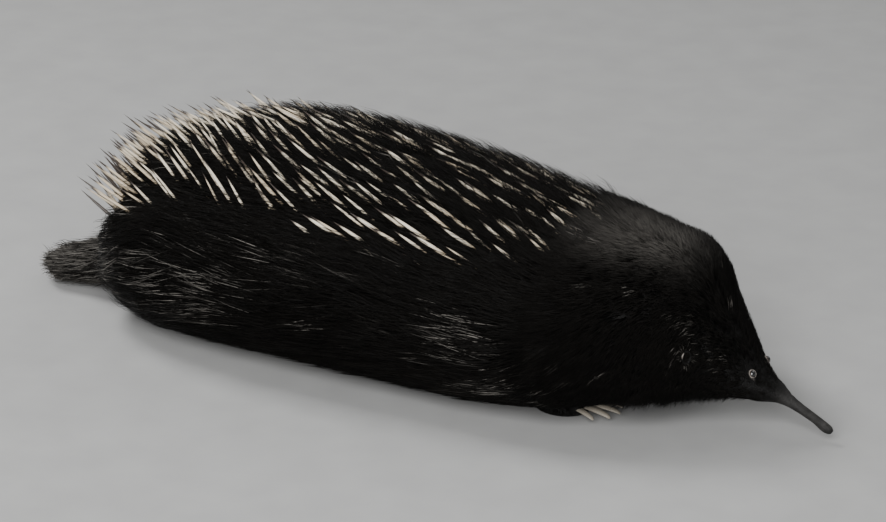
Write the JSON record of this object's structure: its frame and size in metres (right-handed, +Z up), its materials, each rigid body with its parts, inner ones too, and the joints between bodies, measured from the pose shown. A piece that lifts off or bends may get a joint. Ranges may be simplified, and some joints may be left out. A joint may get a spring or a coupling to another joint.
{
  "type": "echidna",
  "caption": "Life-size still model of a short-beaked echidna, low on its four feet with its beak near the floor, pale spines over a dense dark coat.",
  "frame": {"origin": "on the floor under the middle of the animal's box", "axes": "+X towards the beak, +Z up, +Y towards the animal's left"},
  "size_m": [0.4521, 0.151, 0.1208],
  "materials": {
    "fur": "dense blackish-brown fur, dull, with a faint sheen on the long flank hair",
    "skin": "fine-grained dark grey bare skin, matte",
    "horn": "ivory to horn-coloured keratin, slightly glossy, darker at the tips",
    "eye": "polished, nearly black"
  },
  "bodies": {
    "root": {"beak": "skin", "head": "fur", "neck": "fur", "torso": "fur", "tail": "fur", "ear_left": "skin", "eye_left": "eye", "foreleg_left": "fur", "fore_claw_left_1": "horn", "fore_claw_left_2": "horn", "fore_claw_left_3": "horn", "fore_claw_left_4": "horn", "fore_claw_left_5": "horn", "hindleg_left": "fur", "hind_claw_left_1": "horn", "hind_claw_left_2": "horn", "hind_claw_left_3": "horn", "hind_claw_left_4": "horn", "hind_claw_left_5": "horn", "ear_right": "skin", "eye_right": "eye", "foreleg_right": "fur", "fore_claw_right_1": "horn", "fore_claw_right_2": "horn", "fore_claw_right_3": "horn", "fore_claw_right_4": "horn", "fore_claw_right_5": "horn", "hindleg_right": "fur", "hind_claw_right_1": "horn", "hind_claw_right_2": "horn", "hind_claw_right_3": "horn", "hind_claw_right_4": "horn", "hind_claw_right_5": "horn"}
  },
  "joints": []
}
